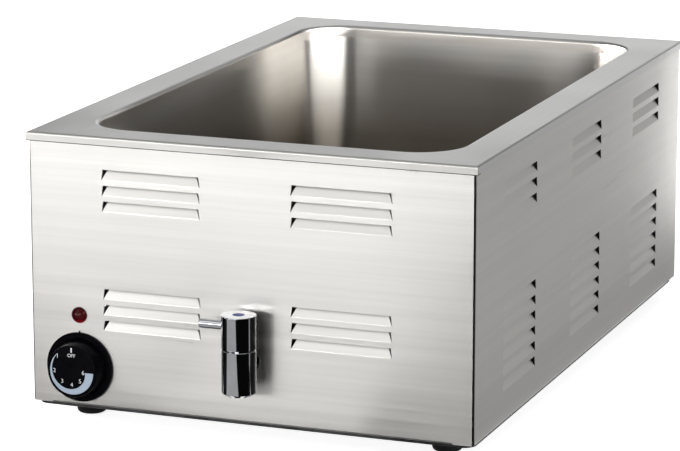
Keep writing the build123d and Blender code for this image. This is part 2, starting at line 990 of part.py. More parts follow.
def thermostat_bulb():
    front, back = bulb_ends()
    return lengthwise(bulb_radius, front, back, 0, element_z)


def capillary_tube():
    start = bulb_ends()[0]
    low = element_z - capillary_dip
    thermostat_back = front_back + thermostat_plate_sheet + thermostat_depth
    outside = shield_y0 - capillary_bend
    entry_x = knob_x + capillary_offset
    points = [
        (0, start, element_z),
        (0, start - capillary_run, element_z),
        (0, start - 2 * capillary_run, low),
        (0, outside, low),
        (entry_x, outside, low),
        (entry_x, thermostat_back + capillary_run, knob_z),
        (entry_x, thermostat_back, knob_z),
    ]
    return bent_tube(points, capillary_radius, capillary_bend)


def lamp_lens():
    ball = (lamp_radius**2 + lamp_dome**2) / (2 * lamp_dome)
    crown = Pos(0, 0, lamp_ring + lamp_dome - ball) * Sphere(ball)
    crown &= upright(lamp_radius, lamp_ring, lamp_ring + lamp_dome)
    return from_front(knob_x, lamp_z) * (crown + upright(lamp_radius, 0, lamp_ring))


def lamp_body():
    back = casing_sheet + lamp_stem_length
    stem = upright(lamp_stem_radius, -back, 0)
    pins = [
        upright(wire_radius, -back - tab_length, -back, s * lamp_stem_radius / 2, 0) for s in (-1, 1)
    ]
    return from_front(knob_x, lamp_z) * (stem + pins)


def lamp_nut():
    ring = nut(lamp_nut_across, lamp_nut_height, lamp_stem_radius + lamp_clearance)
    return from_front(knob_x, lamp_z) * Pos(0, 0, -casing_sheet - lamp_nut_height) * ring


# Drain and tap

def drain_fitting():
    top = floor_top + drain_flange_height
    flange = upright(drain_flange_radius, floor_top, top, 0, drain_y)
    flange = fillet(flange.faces().sort_by(Axis.Z)[-1].edges(), drain_flange_height / 2)
    tail = upright(drain_tail_radius, elbow_top - drain_tail_length, floor_top, 0, drain_y)
    recess = upright(
        strainer_radius + drain_clearance, top - strainer_thickness, top + cut_over, 0, drain_y
    )
    bore = upright(drain_bore, elbow_top - drain_tail_length - cut_over, top + cut_over, 0, drain_y)
    return flange + tail - recess - bore


def drain_strainer():
    top = floor_top + drain_flange_height
    disc = upright(strainer_radius, top - strainer_thickness, top, 0, drain_y)
    centre = Pos(0, drain_y, top - strainer_thickness)
    hole = upright(strainer_hole, -cut_over, strainer_thickness + cut_over)
    holes = [centre * hole]
    for ring in (1, 2):
        places = PolarLocations(ring * strainer_ring, ring * strainer_ring_holes)
        holes += [centre * place * hole for place in places]
    return disc - holes


def drain_gasket():
    ring = upright(elbow_boss_radius, elbow_top, tank_underside, 0, drain_y)
    return ring - upright(
        drain_tail_radius + drain_clearance, elbow_top - cut_over, tank_underside + cut_over, 0, drain_y
    )


def drain_elbow():
    low = tap_axis_z - elbow_barrel_radius - elbow_floor
    boss = upright(elbow_boss_radius, low, elbow_top, 0, drain_y)
    barrel = lengthwise(elbow_barrel_radius, elbow_front, drain_y, 0, tap_axis_z)
    seat = elbow_top - drain_tail_length
    tail_socket = upright(drain_tail_radius + thread_clearance, seat, elbow_top + cut_over, 0, drain_y)
    well = upright(drain_bore, low + elbow_floor, seat + cut_over, 0, drain_y)
    run = lengthwise(tap_bore, elbow_front - cut_over, drain_y, 0, tap_axis_z)
    socket = lengthwise(
        tap_shank_radius + thread_clearance, elbow_front - cut_over, elbow_front + elbow_socket, 0, tap_axis_z
    )
    return boss + barrel - tail_socket - well - run - socket


def tap_body():
    barrel = upright(tap_radius, tap_low, tap_split, 0, tap_y)
    rim = barrel.faces().sort_by(Axis.Z)[0].edges()
    wall = barrel.faces().filter_by(GeomType.CYLINDER)[0]
    barrel = chamfer(rim, tap_chamfer_height, tap_chamfer_depth, reference=wall)
    barrel = chamfer(barrel.faces().sort_by(Axis.Z)[-1].edges(), tap_edge)
    shank_end = elbow_front + elbow_socket - thread_clearance
    shank = lengthwise(tap_shank_radius, tap_y, shank_end, 0, tap_axis_z)
    chamber = upright(plug_radius + plug_fit, plug_low - plug_end_gap, tap_split + cut_over, 0, tap_y)
    seat = upright(
        gland_nut_radius + thread_clearance, plug_high + plug_end_gap, tap_split + cut_over, 0, tap_y
    )
    outlet = upright(tap_outlet, tap_low - cut_over, plug_low, 0, tap_y)
    inlet = lengthwise(tap_bore, tap_y, shank_end + cut_over, 0, tap_axis_z)
    return barrel + shank - chamber - seat - outlet - inlet


def tap_gland_nut():
    low = plug_high + plug_end_gap
    ring = upright(gland_nut_radius, low, tap_split, 0, tap_y)
    return ring - upright(spindle_radius + plug_fit, low - cut_over, tap_split + cut_over, 0, tap_y)


def valve_plug():
    plug = upright(plug_radius, plug_low, plug_high, 0, tap_y)
    plug += upright(spindle_radius, plug_high, spindle_top, 0, tap_y)
    plug -= upright(tap_bore, plug_low - cut_over, tap_axis_z, 0, tap_y)
    return plug - crosswise(tap_bore, 0, plug_radius + cut_over, tap_y, tap_axis_z)


def tap_handle():
    cap = upright(tap_radius, handle_low, handle_top, 0, tap_y)
    cap = fillet(cap.faces().sort_by(Axis.Z)[-1].edges(), tap_edge)
    cap = chamfer(cap.faces().sort_by(Axis.Z)[0].edges(), tap_edge)
    recess = upright(
        index_radius + thread_clearance, handle_top - index_depth, handle_top + cut_over, 0, tap_y
    )
    drive = upright(spindle_radius + plug_fit, handle_low - cut_over, spindle_top + plug_fit, 0, tap_y)
    seat = crosswise(
        lever_radius + plug_fit, -tap_radius - cut_over, -tap_radius + lever_seat, tap_y, lever_z
    )
    return cap - recess - drive - seat


def tap_lever_rod():
    rod = crosswise(lever_radius, -tap_radius - lever_reach, -tap_radius + lever_seat, tap_y, lever_z)
    return fillet(rod.faces().sort_by(Axis.X)[0].edges(), lever_edge)


def tap_index_disc():
    return upright(index_radius, handle_top - index_depth, handle_top, 0, tap_y)


def tap_flange():
    ring = upright(tap_flange_radius, 0, tap_flange_thickness)
    ring = chamfer(ring.faces().sort_by(Axis.Z)[-1].edges(), tap_flange_chamfer)
    ring -= upright(tap_shank_radius + thread_clearance, -cut_over, tap_flange_thickness + cut_over)
    return from_front(0, tap_axis_z) * ring


def tap_washer():
    ring = upright(tap_washer_radius, 0, tap_washer_thickness)
    ring -= upright(tap_shank_radius + thread_clearance, -cut_over, tap_washer_thickness + cut_over)
    return from_front(0, tap_axis_z) * Pos(0, 0, -casing_sheet - tap_washer_thickness) * ring


def tap_lock_nut():
    ring = nut(tap_nut_across, tap_nut_height, tap_shank_radius + thread_clearance)
    depth = casing_sheet + tap_washer_thickness + tap_nut_height
    return from_front(0, tap_axis_z) * Pos(0, 0, -depth) * ring


# Electrics at the rear

def terminal_block():
    half_width = block_width / 2
    half_depth = block_depth / 2
    body = block(
        gland_x - half_width,
        gland_x + half_width,
        block_y - half_depth,
        block_y + half_depth,
        base_top,
        base_top + block_height,
    )
    body = fillet(body.edges().filter_by(Axis.Z), block_corner)
    low = block_y - half_depth - cut_over
    high = block_y + half_depth + cut_over
    holes = [lengthwise(insert_radius + thread_clearance, low, high, x, pole_z) for x in pole_x]
    holes += [
        upright(tapping_hole, base_top - cut_over, base_top + tapping_length, x, y)
        for x, y in block_screw_places()
    ]
    return body - holes


def terminal_inserts():
    half = insert_length / 2
    bored = [
        lengthwise(insert_radius, block_y - half, block_y + half, x, pole_z)
        - lengthwise(wire_radius + wire_gap, block_y - half - cut_over, block_y - half / 2, x, pole_z)
        for x in pole_x
    ]
    return bored


def terminal_screws():
    return [Pos(x, y, body_bottom) * Rot(180, 0, 0) * tapping_screw() for x, y in block_screw_places()]


def gland_body():
    body = hexagon(gland_hex, gland_flange)
    body += upright(gland_thread_radius, -casing_sheet - gland_inside, gland_flange + gland_outside)
    body -= upright(
        gland_bore, -casing_sheet - gland_inside - cut_over, gland_flange + gland_outside + cut_over
    )
    return from_rear(gland_x, gland_z) * body


def gland_lock_nut():
    ring = nut(gland_nut_across, gland_nut_height, gland_thread_radius + thread_clearance)
    return from_rear(gland_x, gland_z) * Pos(0, 0, -casing_sheet - gland_nut_height) * ring


def gland_dome_nut():
    low = gland_flange + seal_clearance
    high = low + dome_length
    shell = upright(dome_radius, low, high)
    shell = fillet(shell.faces().sort_by(Axis.Z)[-1].edges(), dome_round)
    shell -= upright(gland_thread_radius + thread_clearance, low - cut_over, high - dome_round)
    shell -= upright(dome_mouth, low, high + cut_over)
    grip = hexagon(2 * (dome_radius - dome_grip), dome_length)
    return from_rear(gland_x, gland_z) * (shell & Pos(0, 0, low) * grip)


def gland_seal():
    high = gland_flange + gland_outside
    low = high - seal_length
    ring = upright(gland_bore - seal_clearance, low, high + seal_clearance)
    ring += upright(gland_thread_radius - seal_clearance, high, high + dome_wall)
    ring -= upright(seal_bore, low - cut_over, high + dome_wall + cut_over)
    return from_rear(gland_x, gland_z) * ring


def bonding_stud():
    return from_rear(bond_x, gland_z) * upright(bolt_radius, -casing_sheet - bond_inside, bond_outside)


def bonding_nuts():
    one = nut(nut_across, nut_height, bolt_hole)
    seats = (-casing_sheet - nut_height, 0, nut_height + tab_thickness)
    return [from_rear(bond_x, gland_z) * Pos(0, 0, seat) * one for seat in seats]


def wiring():
    """Earth, live, the thermostat's load, neutral, the high limit switch's link and the lamp's leads."""
    earth_x, lamp_b_x, lamp_a_x, live_x, neutral_x = pole_x
    block_front = block_y - block_depth / 2
    pole_y = block_y - insert_length / 4 - wire_gap
    behind_shield = (shield_y1 + block_front) / 2
    stud_y = rear_back - bond_inside
    lamp_y = front_back + lamp_stem_length + tab_length
    pin_y = shield_y0 - element_tail - terminal_pin_length
    case_back = front_back + thermostat_plate_sheet + thermostat_depth
    tab_y = case_back + tab_length
    tab_z = knob_z - thermostat_height / 2 + tab_width
    limit_tab_z = tank_underside - limit_height - tab_length
    live_tab = knob_x + tab_spacing / 2
    load_tab = knob_x - tab_spacing / 2
    neutral_tab = limit_x + tab_spacing / 2
    link_tab = limit_x - tab_spacing / 2
    routes = [
        [
            (earth_x, pole_y, pole_z),
            (earth_x, behind_shield, pole_z),
            (bond_x, behind_shield, gland_z),
            (bond_x, stud_y, gland_z),
        ],
        [
            (live_x, pole_y, pole_z),
            (live_x, spreader_y0 + wire_run, pole_z),
            (live_tab, spreader_y0, pole_z),
            (live_tab, tab_y + wire_run, tab_z),
            (live_tab, tab_y, tab_z),
        ],
        [
            (load_tab, tab_y, tab_z),
            (load_tab, pin_y - wire_step, tab_z),
            (element_x[0], pin_y - wire_step, element_z),
            (element_x[0], pin_y, element_z),
        ],
        [
            (neutral_x, pole_y, pole_z),
            (neutral_x, drain_y + wire_run, pole_z),
            (neutral_tab, drain_y, pole_z),
            (neutral_tab, drain_y, limit_tab_z),
        ],
        [
            (link_tab, drain_y, limit_tab_z),
            (link_tab, drain_y, limit_tab_z - wire_step),
            (link_tab, pin_y - wire_run, limit_tab_z - wire_step),
            (element_x[-1], pin_y - wire_run, element_z),
            (element_x[-1], pin_y, element_z),
        ],
    ]
    for side, x, stagger in ((1, lamp_a_x, 0.0), (-1, lamp_b_x, wire_step)):
        lead_x = knob_x + side * lamp_stem_radius / 2
        turn_y = lamp_y + wire_lead
        routes.append(
            [
                (lead_x, lamp_y, lamp_z),
                (lead_x, turn_y, lamp_z),
                (lead_x, turn_y, pole_z),
                (lead_x, block_front - 2 * wire_run + stagger, pole_z),
                (x, block_front - wire_run + stagger, pole_z),
                (x, pole_y, pole_z),
            ]
        )
    return [bent_tube(route, wire_radius, wire_bend) for route in routes]


def group(solids):
    """Separate solids of one kind kept together."""
    return Compound(list(solids))


pieces = {
    "top_deck": top_deck(),
    "water_tank": water_tank(),
    "front_panel": front_panel(),
    "rear_panel": rear_panel(),
    "left_side_panel": left_side_panel(),
    "right_side_panel": right_side_panel(),
    "base_plate": base_plate(),
    "foot_screws": group(Pos(x, y, 0) * foot_screw() for x, y in foot_places()),
    "foot_nuts": group(
        Pos(x, y, base_top) * nut(nut_across, nut_height, bolt_hole) for x, y in foot_places()
    ),
    "base_screws": group(
        Pos(s * base_screw_x, y, body_bottom) * Rot(180, 0, 0) * tapping_screw()
        for s in (-1, 1)
        for y in base_screw_rows()
    ),
    "rear_panel_screws": group(from_rear(x, z) * tapping_screw() for x, z in rear_screw_places()),
    "heat_spreader": heat_spreader(),
    "heating_element": heating_element(),
    "element_terminals": group(element_terminals()),
    "clamp_bars": group(clamp_bars()),
    "tank_studs": group(tank_studs()),
    "stud_nuts": group(stud_nuts()),
    "insulation_blanket": insulation_blanket(),
    "heat_shield": heat_shield(),
    "high_limit_switch": high_limit_switch(),
    "thermostat_plate": thermostat_plate(),
    "thermostat_body": thermostat_body(),
    "thermostat_screws": group(thermostat_screws()),
    "thermostat_bulb": thermostat_bulb(),
    "capillary_tube": capillary_tube(),
    "knob_bezel": knob_bezel(),
    "thermostat_shaft": thermostat_shaft(),
    "control_knob": control_knob(),
    "lamp_lens": lamp_lens(),
    "lamp_body": lamp_body(),
    "lamp_nut": lamp_nut(),
    "drain_fitting": drain_fitting(),
    "drain_gasket": drain_gasket(),
    "drain_strainer": drain_strainer(),
    "drain_elbow": drain_elbow(),
    "tap_body": tap_body(),
    "tap_gland_nut": tap_gland_nut(),
    "tap_flange": tap_flange(),
    "tap_washer": tap_washer(),
    "tap_lock_nut": tap_lock_nut(),
    "tap_handle": tap_handle(),
    "tap_lever_rod": tap_lever_rod(),
    "tap_index_disc": tap_index_disc(),
    "valve_plug": valve_plug(),
    "terminal_block": terminal_block(),
    "terminal_inserts": group(terminal_inserts()),
    "terminal_screws": group(terminal_screws()),
    "wiring": group(wiring()),
    "gland_body": gland_body(),
    "gland_dome_nut": gland_dome_nut(),
    "gland_lock_nut": gland_lock_nut(),
    "gland_seal": gland_seal(),
    "bonding_stud": bonding_stud(),
    "bonding_nuts": group(bonding_nuts()),
}
foot_names = ("foot_front_left", "foot_front_right", "foot_rear_left", "foot_rear_right")
for name, (x, y) in zip(foot_names, foot_places()):
    pieces[name] = Pos(x, y, 0) * foot()

os.makedirs("parts", exist_ok=True)
for name, piece in pieces.items():
    export_step(piece, f"parts/{name}.step")
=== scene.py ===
from math import cos, pi, radians, sin

import bmesh
import bpy
from mathutils import Matrix, Vector


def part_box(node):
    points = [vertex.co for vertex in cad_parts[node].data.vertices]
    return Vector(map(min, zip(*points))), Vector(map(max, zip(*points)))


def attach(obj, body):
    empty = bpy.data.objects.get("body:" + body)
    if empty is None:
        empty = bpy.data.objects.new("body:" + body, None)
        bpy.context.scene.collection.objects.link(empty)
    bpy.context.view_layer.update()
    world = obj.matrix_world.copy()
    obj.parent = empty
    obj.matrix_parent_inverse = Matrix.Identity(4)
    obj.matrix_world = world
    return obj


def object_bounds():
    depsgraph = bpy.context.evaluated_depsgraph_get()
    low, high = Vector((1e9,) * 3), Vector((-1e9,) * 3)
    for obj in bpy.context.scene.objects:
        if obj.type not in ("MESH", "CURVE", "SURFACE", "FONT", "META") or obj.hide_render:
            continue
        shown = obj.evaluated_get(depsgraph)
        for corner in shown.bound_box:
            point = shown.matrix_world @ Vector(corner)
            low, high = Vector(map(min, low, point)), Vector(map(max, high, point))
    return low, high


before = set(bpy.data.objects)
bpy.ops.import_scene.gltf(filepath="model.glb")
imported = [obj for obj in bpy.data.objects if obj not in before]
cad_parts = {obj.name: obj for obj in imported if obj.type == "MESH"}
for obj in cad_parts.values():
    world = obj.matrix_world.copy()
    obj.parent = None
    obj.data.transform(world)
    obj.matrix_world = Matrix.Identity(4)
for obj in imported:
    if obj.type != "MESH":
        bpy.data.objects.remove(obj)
cad_low, cad_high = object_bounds()


# Water tank
# A deep tray of one millimetre stainless sheet, its walls brushed level and its floor from front to back.
# It hangs under the deck by a weld just below the lip, and holds the water that the pans stand over.

def new_finish(name):
    """A new finish, with its node tree and its shader."""
    finish = bpy.data.materials.new(name)
    finish.use_nodes = True
    return finish, finish.node_tree, finish.node_tree.nodes["Principled BSDF"]


def dress(finish, *pieces):
    """Puts a finish on pieces of the frame."""
    for piece in pieces:
        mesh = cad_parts[piece].data
        mesh.materials.clear()
        mesh.materials.append(finish)


def feed(socket, value):
    """Gives a socket a plain value, or links it to another node's socket."""
    if isinstance(value, bpy.types.NodeSocket):
        socket.id_data.links.new(value, socket)
    else:
        socket.default_value = value


def settings(node, **values):
    """Feeds a node's sockets, named with underscores for spaces."""
    for name, value in values.items():
        feed(node.inputs[name.replace("_", " ")], value)
    return node


def maths(tree, operation, *values):
    """A sum of values that change over the surface."""
    node = tree.nodes.new("ShaderNodeMath")
    node.operation = operation
    for socket, value in zip(node.inputs, values):
        feed(socket, value)
    return node.outputs["Value"]


def vector_maths(tree, operation, *vectors):
    """A sum of places or facings."""
    node = tree.nodes.new("ShaderNodeVectorMath")
    node.operation = operation
    for socket, vector in zip(node.inputs, vectors):
        feed(socket, vector)
    return node.outputs["Vector"]


def surface_place(tree):
    """The place of each point of the surface, in metres."""
    return tree.nodes.new("ShaderNodeTexCoord").outputs["Object"]


def surface_facing(tree):
    """The way that each point of the surface faces."""
    return tree.nodes.new("ShaderNodeNewGeometry").outputs["Normal"]


def parts(tree, vector):
    """The X, Y and Z of a place or a facing."""
    return settings(tree.nodes.new("ShaderNodeSeparateXYZ"), Vector=vector).outputs


def ranged(tree, value, low, high, start=0.0, end=1.0):
    """A value stretched from one range to another."""
    node = tree.nodes.new("ShaderNodeMapRange")
    settings(node, Value=value, From_Min=start, From_Max=end, To_Min=low, To_Max=high)
    return node.outputs["Result"]


def shaded(tree, value, *stops):
    """A colour read from a value through a ramp of stops, each a place and a colour."""
    ramp = tree.nodes.new("ShaderNodeValToRGB")
    elements = ramp.color_ramp.elements
    while len(elements) < len(stops):
        elements.new(1.0)
    for element, (place, colour) in zip(elements, stops):
        element.position = place
        element.color = (*colour, 1.0)
    return settings(ramp, Fac=value).outputs["Color"]


def blended(tree, share, first, second):
    """One colour where the share is 0 and another where it is 1."""
    mix = tree.nodes.new("ShaderNodeMix")
    mix.data_type = "RGBA"
    return settings(mix, Factor=share, A=first, B=(*second, 1.0)).outputs["Result"]


def raised(tree, height, depth, strength, facing=None):
    """The facing of a relief of the given depth in metres, on a bowed surface if its facing is given."""
    bump = tree.nodes.new("ShaderNodeBump")
    settings(bump, Height=height, Distance=depth, Strength=strength)
    if facing:
        settings(bump, Normal=facing)
    return bump.outputs["Normal"]


usual_low = 0.3
usual_high = 0.7


def noise(tree, vector, scale, detail=2.0, roughness=0.5, distortion=0.0):
    """A cloud of values over the surface, nearly all of them between usual_low and usual_high."""
    node = tree.nodes.new("ShaderNodeTexNoise")
    settings(node, Vector=vector, Scale=scale, Detail=detail, Roughness=roughness, Distortion=distortion)
    return node.outputs["Fac"]


def effect(name, inputs, outputs):
    """An empty effect for several finishes to share, with the nodes of its inputs and its outputs."""
    group = bpy.data.node_groups.new(name, "ShaderNodeTree")
    for socket, kind in inputs.items():
        group.interface.new_socket(socket, in_out="INPUT", socket_type=kind)
    for socket, kind in outputs.items():
        group.interface.new_socket(socket, in_out="OUTPUT", socket_type=kind)
    return group, group.nodes.new("NodeGroupInput"), group.nodes.new("NodeGroupOutput")


def placed(tree, group, **values):
    """Places a shared effect in a finish, with the finish's own values, and gives what it puts out."""
    node = tree.nodes.new("ShaderNodeGroup")
    node.node_tree = group
    return settings(node, **values).outputs


flat_facing = 0.7
cloud_scale = 7.0


def make_brush_marks():
    """Scratches of a belt brush, stretched one way on walls and another on flats, and clouds of wear."""
    group, given, result = effect(
        "Brush marks",
        {"Wall scale": "NodeSocketVector", "Flat scale": "NodeSocketVector"},
        {"Lines": "NodeSocketFloat", "Clouds": "NodeSocketFloat"},
    )
    place = surface_place(group)
    on_wall, on_flat = [
        noise(group, vector_maths(group, "MULTIPLY", place, scale), 1.0, detail=5.0, roughness=0.72)
        for scale in (given.outputs["Wall scale"], given.outputs["Flat scale"])
    ]
    upward = maths(group, "ABSOLUTE", parts(group, surface_facing(group))["Z"])
    flat = maths(group, "GREATER_THAN", upward, flat_facing)
    change = maths(group, "SUBTRACT", on_flat, on_wall)
    settings(
        result,
        Lines=maths(group, "MULTIPLY_ADD", change, flat, on_wall),
        Clouds=noise(group, place, cloud_scale, detail=3.0, distortion=0.6),
    )
    return group


brush_marks = make_brush_marks()
level_brushing = (1.5, 1.5, 150.0)
lengthwise_brushing = (150.0, 1.5, 1.5)
scratch_depth = 0.00002
scratch_strength = 0.5
cloud_gloss = 0.04


def brushed_sheet(name, dark, light, rough, grain_axis, grain_turn, spread, edge=None, bow=None):
    """Brushed stainless sheet: scratches in colour, gloss and relief, and a highlight drawn across them."""
    finish, tree, shader = new_finish(name)
    marks = placed(tree, brush_marks, Wall_scale=level_brushing, Flat_scale=lengthwise_brushing)
    lines = marks["Lines"]
    colour = shaded(tree, lines, (usual_low, dark), (usual_high, light))
    gloss = ranged(tree, lines, *rough, usual_low, usual_high)
    clouds = ranged(tree, marks["Clouds"], -cloud_gloss, cloud_gloss, usual_low, usual_high)
    facing = placed(tree, drawn_bow, Lean=bow)["Facing"] if bow else None
    tangent = tree.nodes.new("ShaderNodeTangent")
    tangent.direction_type = "RADIAL"
    tangent.axis = grain_axis
    settings(
        shader,
        Base_Color=edge(tree, colour) if edge else colour,
        Metallic=1.0,
        Roughness=maths(tree, "ADD", gloss, clouds),
        Normal=raised(tree, lines, scratch_depth, scratch_strength, facing),
        Tangent=tangent.outputs["Tangent"],
        Anisotropic=spread,
        Anisotropic_Rotation=grain_turn,
    )
    return finish


tank_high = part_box("water_tank")[1]
# Painted shade in the well: below the rim, the tank's colour is blended towards a dark brown over this
# depth.
well_shade_depth = 0.09
well_shade_share = 0.85
well_shade_colour = (0.165, 0.14, 0.112)


def wet_shade(tree, colour):
    """Painted shade: the steel's colour turns darker and browner lower down in the well."""
    height = parts(tree, surface_place(tree))["Z"]
    share = ranged(tree, height, well_shade_share, 0.0, tank_high.z - well_shade_depth, tank_high.z)
    return blended(tree, share, colour, well_shade_colour)


bow_start = 0.023
bow_length = 0.1
bow_lean = 0.42
lip_width = 0.006


def make_drawn_bow():
    """The facing of the well's walls, which bow in beside the corners, where the sheet was drawn."""
    group, given, result = effect("Drawn bow", {"Lean": "NodeSocketFloat"}, {"Facing": "NodeSocketVector"})
    place = parts(group, surface_place(group))
    facing = surface_facing(group)
    wall = parts(group, facing)
    across = maths(group, "SUBTRACT", tank_high.x, maths(group, "ABSOLUTE", place["X"]))
    along = maths(group, "SUBTRACT", tank_high.y, maths(group, "ABSOLUTE", place["Y"]))
    in_well = maths(group, "GREATER_THAN", maths(group, "MINIMUM", across, along), -lip_width)
    near = ranged(group, maths(group, "ADD", across, along), 1.0, 0.0, bow_start, bow_start + bow_length)
    falloff = maths(group, "POWER", near, 2.0)
    lean = maths(group, "MULTIPLY", falloff, maths(group, "MULTIPLY", in_well, given.outputs["Lean"]))
    turn = group.nodes.new("ShaderNodeCombineXYZ")
    for axis, other in (("X", "Y"), ("Y", "X")):
        side = maths(group, "SIGN", place[axis])
        share = maths(group, "MULTIPLY", side, maths(group, "ABSOLUTE", wall[other]))
        feed(turn.inputs[axis], maths(group, "MULTIPLY", share, lean))
    bowed = vector_maths(group, "SUBTRACT", facing, turn.outputs["Vector"])
    settings(result, Facing=vector_maths(group, "NORMALIZE", bowed))
    return group


drawn_bow = make_drawn_bow()
tank_steel = brushed_sheet(
    "Brushed tank steel",
    dark=(0.51, 0.495, 0.468),
    light=(0.57, 0.554, 0.526),
    rough=(0.30, 0.36),
    grain_axis="Z",
    grain_turn=0.25,
    spread=0.95,
    # The well's steel is darkened lower down, as painted shade.
    edge=wet_shade,
    bow=bow_lean,
)
dress(tank_steel, "water_tank", "drain_strainer")


# Deck
# One folded sheet of brushed stainless with a short skirt, slit at the corners so that it can be bent.
# Its opening is rolled down to a lip, which the tank is welded under.

deck_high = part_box("top_deck")[1]
skirt_depth = 0.007
# Painted shade: the end skirts get a darker tone, a near black line along their foot stands for the shadow
# under them, and the same near black darkens the side panels' louvre ends.
shadow_line_height = 0.0006
lip_depth = 0.003
deck_sheet = 0.001
shaded_skirt_colour = (0.62, 0.612, 0.59)
painted_shade_colour = (0.05, 0.048, 0.045)
collar_colour = (0.54, 0.513, 0.48)


def deck_edges(tree, colour):
    """The end skirts in a darker tone, painted shade, with a near black line along their foot, painted
    shadow, and the lip's collar, as dark as the tank.
    """
    place = parts(tree, surface_place(tree))
    across = maths(tree, "ABSOLUTE", place["X"])
    along = maths(tree, "ABSOLUTE", place["Y"])
    at_end = maths(tree, "GREATER_THAN", along, deck_high.y - skirt_depth)
    at_side = maths(tree, "GREATER_THAN", across, deck_high.x - skirt_depth)
    skirt = ranged(tree, along, 0.0, 1.0, deck_high.y - deck_sheet, deck_high.y - deck_sheet / 2)
    # Painted shade: the end skirts are given a darker tone.
    colour = blended(tree, skirt, colour, shaded_skirt_colour)
    # Painted shadow: a near black line along the foot of the end skirts.
    foot = maths(tree, "LESS_THAN", place["Z"], deck_high.z - skirt_depth + shadow_line_height)
    colour = blended(tree, maths(tree, "MULTIPLY", at_end, foot), colour, painted_shade_colour)
    inner = ranged(tree, place["Z"], 1.0, 0.0, deck_high.z - lip_depth, deck_high.z)
    outer = maths(tree, "MAXIMUM", at_end, at_side)
    return blended(tree, maths(tree, "SUBTRACT", inner, outer), colour, collar_colour)


deck_steel = brushed_sheet(
    "Brushed deck steel",
    dark=(0.70, 0.70, 0.69),
    light=(0.78, 0.78, 0.77),
    rough=(0.32, 0.40),
    grain_axis="Y",
    grain_turn=0.0,
    spread=0.5,
    edge=deck_edges,
    bow=bow_lean,
)
dress(deck_steel, "top_deck")


# Casing panels
# Four folded panels of brushed stainless, with louvres lanced inwards and left joined at their lower edges.
# The front and rear panels cover the ends of the side panels, and the rear one is screwed on.

end_facing = 0.95


def sheared_ends(tree, colour):
    """Painted shade: a side panel's faces that look to the front or the back, the ends of its louvre slots
    among them, are made near black.
    """
    lengthwise = maths(tree, "ABSOLUTE", parts(tree, surface_facing(tree))["Y"])
    return blended(tree, maths(tree, "GREATER_THAN", lengthwise, end_facing), colour, painted_shade_colour)


def casing_steel(name, edge=None):
    """The brushed stainless of the casing, a little warmer and brighter than the deck's."""
    return brushed_sheet(
        name,
        dark=(0.735, 0.722, 0.695),
        light=(0.815, 0.80, 0.77),
        rough=(0.30, 0.38),
        grain_axis="Z",
        grain_turn=0.25,
        spread=0.7,
        edge=edge,
    )


dress(casing_steel("Brushed end panel steel"), "front_panel", "rear_panel")
# The side panels' louvre ends are darkened as painted shade.
dress(casing_steel("Brushed side panel steel", sheared_ends), "left_side_panel", "right_side_panel")


# Base plate, fasteners and other plated steel
# Galvanised sheet and zinc plated screws, studs and nuts, with the flaky bloom that zinc sets in.
# The base plate is screwed up into the side panels' lower flanges.

def make_zinc_flakes():
    """Zinc's patchwork of crystals, and the fine grain on them."""
    group, given, result = effect(
        "Zinc flakes",
        {"Flake scale": "NodeSocketFloat", "Grain scale": "NodeSocketFloat"},
        {"Flakes": "NodeSocketFloat", "Grain": "NodeSocketFloat"},
    )
    place = surface_place(group)
    crystals = group.nodes.new("ShaderNodeTexVoronoi")
    settings(crystals, Vector=place, Scale=given.outputs["Flake scale"], Randomness=1.0)
    chance = settings(group.nodes.new("ShaderNodeSeparateColor"), Color=crystals.outputs["Color"])
    settings(
        result,
        Flakes=chance.outputs["Red"],
        Grain=noise(group, place, given.outputs["Grain scale"]),
    )
    return group


zinc_flakes = make_zinc_flakes()
zinc_rough = (0.32, 0.5)
zinc_grain_depth = 0.00002
zinc_grain_strength = 0.4


def zinc_bloom(name, dark, light):
    """Plated steel whose zinc crystals are lighter or darker, and some smoother than others."""
    finish, tree, shader = new_finish(name)
    bloom = placed(tree, zinc_flakes, Flake_scale=120.0, Grain_scale=900.0)
    settings(
        shader,
        Base_Color=shaded(tree, bloom["Flakes"], (0.0, dark), (1.0, light)),
        Metallic=1.0,
        Roughness=ranged(tree, bloom["Flakes"], *zinc_rough),
        Normal=raised(tree, bloom["Grain"], zinc_grain_depth, zinc_grain_strength),
    )
    return finish


# The base plate's zinc is made nearly black, painted shade along the foot of the casing.
dress(zinc_bloom("Base plate zinc with painted shade", (0.07, 0.071, 0.073), (0.11, 0.112, 0.115)), "base_plate")
zinc_steel = zinc_bloom("Zinc plated steel", (0.50, 0.51, 0.52), (0.66, 0.67, 0.68))
dress(zinc_steel, "foot_screws", "foot_nuts", "base_screws", "rear_panel_screws")
dress(zinc_steel, "element_terminals", "clamp_bars", "tank_studs", "stud_nuts", "heat_shield")
dress(zinc_steel, "thermostat_plate", "thermostat_screws", "thermostat_shaft", "terminal_screws")


# Feet and seals
# Black rubber, moulded with a fine matt grain and a little dusty.
# Each foot is held by a screw sunk in it from below.

dust_scale = 60.0


def make_moulded_grain():
    """The fine pits of a moulded surface, and the dust on it."""
    group, given, result = effect(
        "Moulded grain",
        {"Grain scale": "NodeSocketFloat"},
        {"Pits": "NodeSocketFloat", "Dust": "NodeSocketFloat"},
    )
    place = surface_place(group)
    settings(
        result,
        Pits=noise(group, place, given.outputs["Grain scale"], detail=3.0),
        Dust=noise(group, place, dust_scale, detail=4.0, roughness=0.6),
    )
    return group


moulded_grain = make_moulded_grain()
thin_dust = 0.35
thick_dust = 0.75
pit_strength = 0.6


